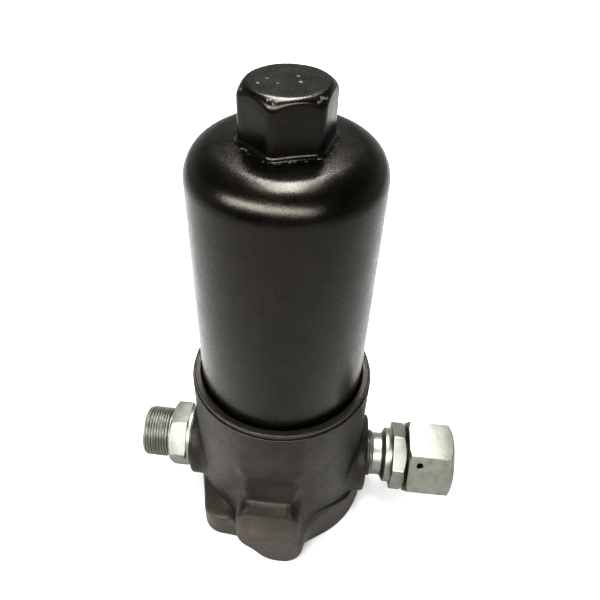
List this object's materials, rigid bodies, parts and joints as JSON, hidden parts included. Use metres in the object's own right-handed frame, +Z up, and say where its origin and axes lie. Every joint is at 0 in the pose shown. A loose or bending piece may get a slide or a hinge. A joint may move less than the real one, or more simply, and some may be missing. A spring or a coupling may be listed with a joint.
{
  "type": "hydraulic filter",
  "caption": "Inline high-pressure hydraulic filter: cast head with side ports and stud fittings, screwed-on steel bowl with a hexagon, pleated element and bypass valve.",
  "frame": {"origin": "centre of the bowl's axis in the flat base plane of the head, on which the filter stands", "axes": "+Z up along the bowl's axis, +X along the port axis towards the outlet, -Y towards the front boss"},
  "size_m": [0.2202, 0.1326, 0.3065],
  "materials": {
    "cast_head": "black coating over sand-cast iron, satin, fine grain",
    "bowl_paint": "semi-gloss black paint on a steel bowl",
    "seal_rubber": "oiled black rubber",
    "backup_plastic": "white low-friction plastic",
    "element_steel": "zinc-plated pressed sheet",
    "filter_medium": "pleated glass-fibre medium",
    "turned_steel": "turned steel",
    "spring_steel": "drawn steel wire",
    "zinc_bright": "bright zinc plating on turned steel",
    "zinc_grey": "grey zinc plating with a fine grain"
  },
  "bodies": {
    "head": {"filter_head": "cast_head", "element_open_end_cap": "element_steel", "element_closed_end_cap": "element_steel", "element_core_tube": "element_steel", "element_pleated_media": "filter_medium", "element_outer_sleeve": "element_steel", "element_o_ring": "seal_rubber", "bypass_valve_cage": "turned_steel", "bypass_spring": "spring_steel", "bypass_spring_retainer": "turned_steel", "bypass_circlip": "spring_steel", "inlet_stud_fitting": "zinc_bright", "inlet_seal_ring": "zinc_bright", "outlet_stud_fitting": "zinc_bright", "outlet_seal_ring": "seal_rubber", "cone_o_ring": "seal_rubber"},
    "bowl_seals": {"bowl_o_ring": "seal_rubber", "bowl_backup_ring": "backup_plastic"},
    "bowl": {"filter_bowl": "bowl_paint"},
    "swivel_nut": {"swivel_nut": "zinc_grey", "swivel_retaining_wire": "spring_steel"},
    "bypass_poppet": {"bypass_poppet": "turned_steel"}
  },
  "joints": [
    {"name": "bowl_lift", "type": "slide", "parent": "head", "child": "bowl_seals", "axis": [0, 0, 1], "range_m": [0, 0.024]},
    {"name": "bowl_turn", "type": "hinge", "parent": "bowl_seals", "child": "bowl", "pos_m": [0, 0, 0.1], "axis": [0, 0, 1], "range_deg": [0, 2880]},
    {"name": "swivel_turn", "type": "hinge", "parent": "head", "child": "swivel_nut", "pos_m": [0.1, 0, 0.034], "axis": [1, 0, 0], "continuous": true},
    {"name": "bypass_open", "type": "slide", "parent": "head", "child": "bypass_poppet", "axis": [0, 0, -1], "range_m": [0, 0.004], "stiffness_N_per_m": 15000, "springref_m": -0.003, "deforming": ["bypass_spring"]}
  ],
  "couplings": [
    {"joint": "bowl_lift", "follows": "bowl_turn", "m_per_rad": 0.00047746}
  ]
}
